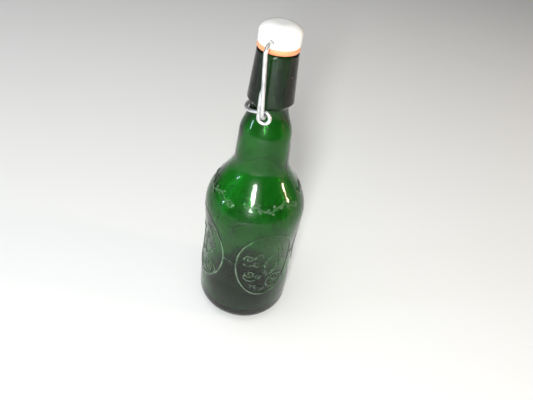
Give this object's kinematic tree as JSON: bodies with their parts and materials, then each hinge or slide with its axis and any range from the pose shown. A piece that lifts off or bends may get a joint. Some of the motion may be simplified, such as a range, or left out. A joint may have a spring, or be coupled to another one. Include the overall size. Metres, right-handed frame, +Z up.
{
  "type": "swing top bottle",
  "caption": "Round green glass bottle with a bulged neck and raised ovals, shut by a porcelain stopper on a rubber gasket and a wire lever closure.",
  "frame": {"origin": "centre of the underside, on the plane that the bottle stands on", "axes": "+Z up the bottle, Y along the pivots of the closure, -X towards the thumb hoop"},
  "size_m": [0.077, 0.077, 0.2453],
  "materials": {
    "bottle_glass": "deep green, glossy",
    "porcelain": "white, glazed",
    "gasket_rubber": "salmon orange, matt",
    "zinc_wire": "zinc plated, satin"
  },
  "bodies": {
    "bottle": {"bottle": "bottle_glass"},
    "lever": {"lever": "zinc_wire"},
    "bail": {"bail": "zinc_wire"},
    "stopper": {"stopper": "porcelain", "gasket": "gasket_rubber"}
  },
  "joints": [
    {"name": "lever_swing", "type": "hinge", "parent": "bottle", "child": "lever", "pos_m": [0, 0, 0.208], "axis": [0, 1, 0], "range_deg": [0, 90]},
    {"name": "bail_swing", "type": "hinge", "parent": "lever", "child": "bail", "pos_m": [0.0037, 0, 0.191], "axis": [0, 1, 0], "range_deg": [-56.6, 0]},
    {"name": "stopper_tilt", "type": "hinge", "parent": "bail", "child": "stopper", "pos_m": [0, 0, 0.23669], "axis": [0, 1, 0], "range_deg": [-33.6, 0]}
  ],
  "couplings": [
    {"joint": "bail_swing", "follows": "lever_swing", "ratio": -0.62794},
    {"joint": "stopper_tilt", "follows": "lever_swing", "ratio": -0.37206}
  ]
}
